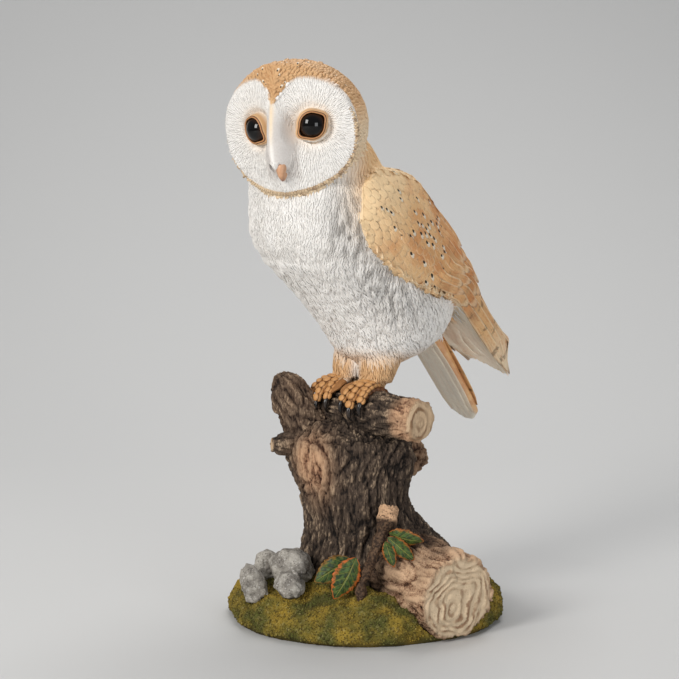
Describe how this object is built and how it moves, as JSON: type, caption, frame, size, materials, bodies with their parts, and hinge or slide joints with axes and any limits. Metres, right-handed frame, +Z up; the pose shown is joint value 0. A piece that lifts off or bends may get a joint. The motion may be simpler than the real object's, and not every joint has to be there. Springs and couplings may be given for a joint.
{
  "type": "barn owl statuette",
  "caption": "Painted cast-resin barn owl statuette, perched with folded wings on a forked stump over an oval mossy base with a sawn log, rocks, a twig and leaves.",
  "frame": {"origin": "middle of the whole piece's footprint, at the flat underside of the base", "axes": "+Z up out of the base, -Y towards the viewer that the owl's face is turned to, +X to that viewer's right"},
  "size_m": [0.1576, 0.151, 0.3001],
  "materials": {
    "plumage_paint": "cast resin with satin hand-painted white and golden plumage, grey wash in the grooves",
    "foot_paint": "cast resin, satin orange-tan paint with brown wash between the scales",
    "claw_paint": "cast resin, semi-gloss black paint",
    "beak_paint": "cast resin, satin tan-pink paint",
    "glass_black_paint": "cast resin, high-gloss black lacquer",
    "bark_paint": "cast resin, matt dark brown with tan dry-brushing",
    "sawn_wood_paint": "cast resin, matt cream-tan with brown rings and bark",
    "moss_paint": "cast resin with grit, matt olive and ochre",
    "rock_paint": "cast resin, matt grey, speckled",
    "leaf_paint": "cast resin, satin green with orange-brown edges",
    "twig_paint": "cast resin, matt brown"
  },
  "bodies": {
    "root": {"beak": "beak_paint", "claw_left_hind": "claw_paint", "claw_left_inner": "claw_paint", "claw_left_middle": "claw_paint", "claw_left_outer": "claw_paint", "claw_right_hind": "claw_paint", "claw_right_inner": "claw_paint", "claw_right_middle": "claw_paint", "claw_right_outer": "claw_paint", "eye_left": "glass_black_paint", "eye_right": "glass_black_paint", "foot_left": "foot_paint", "foot_right": "foot_paint", "ground": "moss_paint", "head": "plumage_paint", "knot": "bark_paint", "leaf_back": "leaf_paint", "leaf_front": "leaf_paint", "leaf_middle": "leaf_paint", "leaf_small": "leaf_paint", "leaf_upper": "leaf_paint", "left_branch": "bark_paint", "leg_left": "plumage_paint", "leg_right": "plumage_paint", "log": "sawn_wood_paint", "neck": "plumage_paint", "perch_branch": "bark_paint", "right_stub": "bark_paint", "rock_back": "rock_paint", "rock_front": "rock_paint", "rock_large": "rock_paint", "rock_left": "rock_paint", "stump": "bark_paint", "tail": "plumage_paint", "trunk": "plumage_paint", "twig": "twig_paint", "wing_left": "plumage_paint", "wing_right": "plumage_paint"}
  },
  "joints": []
}
